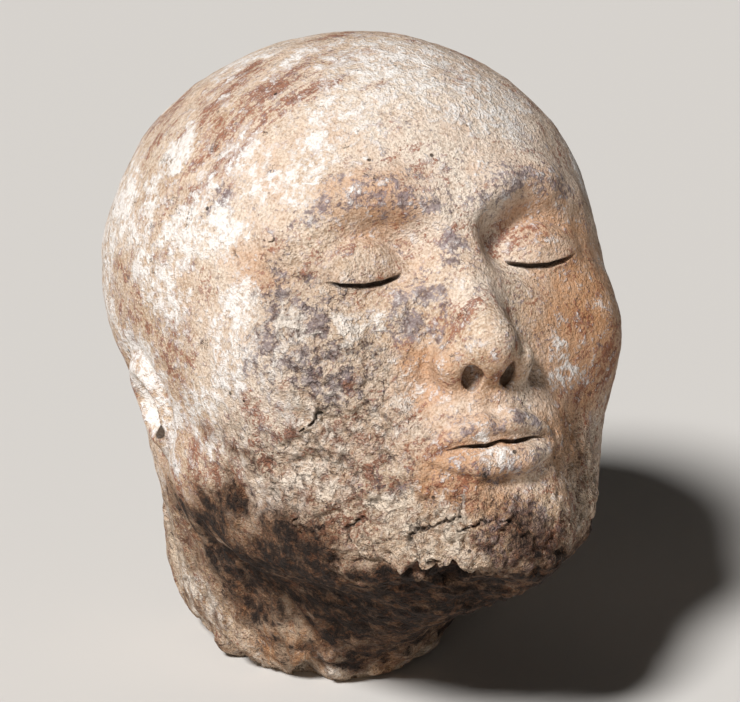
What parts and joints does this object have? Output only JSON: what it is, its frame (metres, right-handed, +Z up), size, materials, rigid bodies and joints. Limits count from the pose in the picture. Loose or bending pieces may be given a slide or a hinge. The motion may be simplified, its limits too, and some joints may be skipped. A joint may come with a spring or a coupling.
{
  "type": "clay head",
  "caption": "Life-size bald clay head with closed eyes, leaning back on the broken stub of its neck, which stands on a flat foot.",
  "frame": {"origin": "on the floor plane, under the centre of the bounding box", "axes": "+Z up from the foot, -Y where the face looks, +X to the head's left"},
  "size_m": [0.17, 0.2214, 0.2239],
  "materials": {
    "clay": "dry matt ochre clay, rubbed with cream slip, soot-stained under the jaw"
  },
  "bodies": {
    "root": {"clay_head": "clay"}
  },
  "joints": []
}
